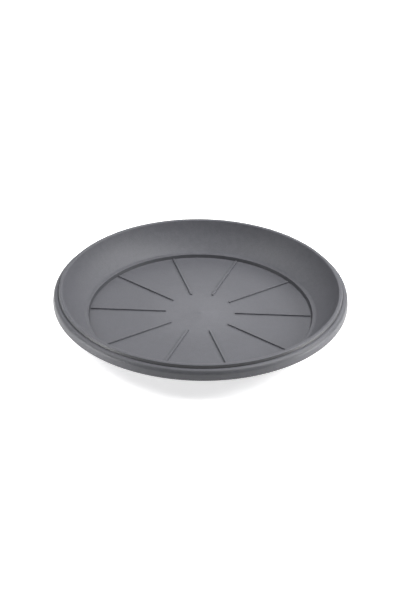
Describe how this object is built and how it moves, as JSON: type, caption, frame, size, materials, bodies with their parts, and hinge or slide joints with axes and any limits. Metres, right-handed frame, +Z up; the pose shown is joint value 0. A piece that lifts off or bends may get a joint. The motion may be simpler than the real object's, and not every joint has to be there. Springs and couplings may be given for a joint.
{
  "type": "plant saucer",
  "caption": "Round shallow plant saucer with a recessed floor, radial ribs that keep a pot clear of the water, a curved side wall and a stepped rim with a turned-down skirt.",
  "frame": {"origin": "on the table under the middle of the dish, at the level of the foot rings", "axes": "+Z up along the axis of the round dish; +X along the first pot rib"},
  "size_m": [0.302, 0.302, 0.038],
  "materials": {
    "grey_plastic": "fine matte moulded polypropylene, anthracite grey"
  },
  "bodies": {
    "root": {"floor_plate": "grey_plastic", "step_ring": "grey_plastic", "side_wall": "grey_plastic", "rim_bead": "grey_plastic", "rim_shoulder_back_right": "grey_plastic", "rim_shoulder_back_left": "grey_plastic", "rim_shoulder_front_left": "grey_plastic", "rim_shoulder_front_right": "grey_plastic", "rim_skirt_back_right": "grey_plastic", "rim_skirt_back_left": "grey_plastic", "rim_skirt_front_left": "grey_plastic", "rim_skirt_front_right": "grey_plastic", "outer_foot_ring": "grey_plastic", "inner_foot_ring": "grey_plastic", "pot_rib_01": "grey_plastic", "pot_rib_02": "grey_plastic", "pot_rib_03": "grey_plastic", "pot_rib_04": "grey_plastic", "pot_rib_05": "grey_plastic", "pot_rib_06": "grey_plastic", "pot_rib_07": "grey_plastic", "pot_rib_08": "grey_plastic", "pot_rib_09": "grey_plastic", "pot_rib_10": "grey_plastic"}
  },
  "joints": []
}
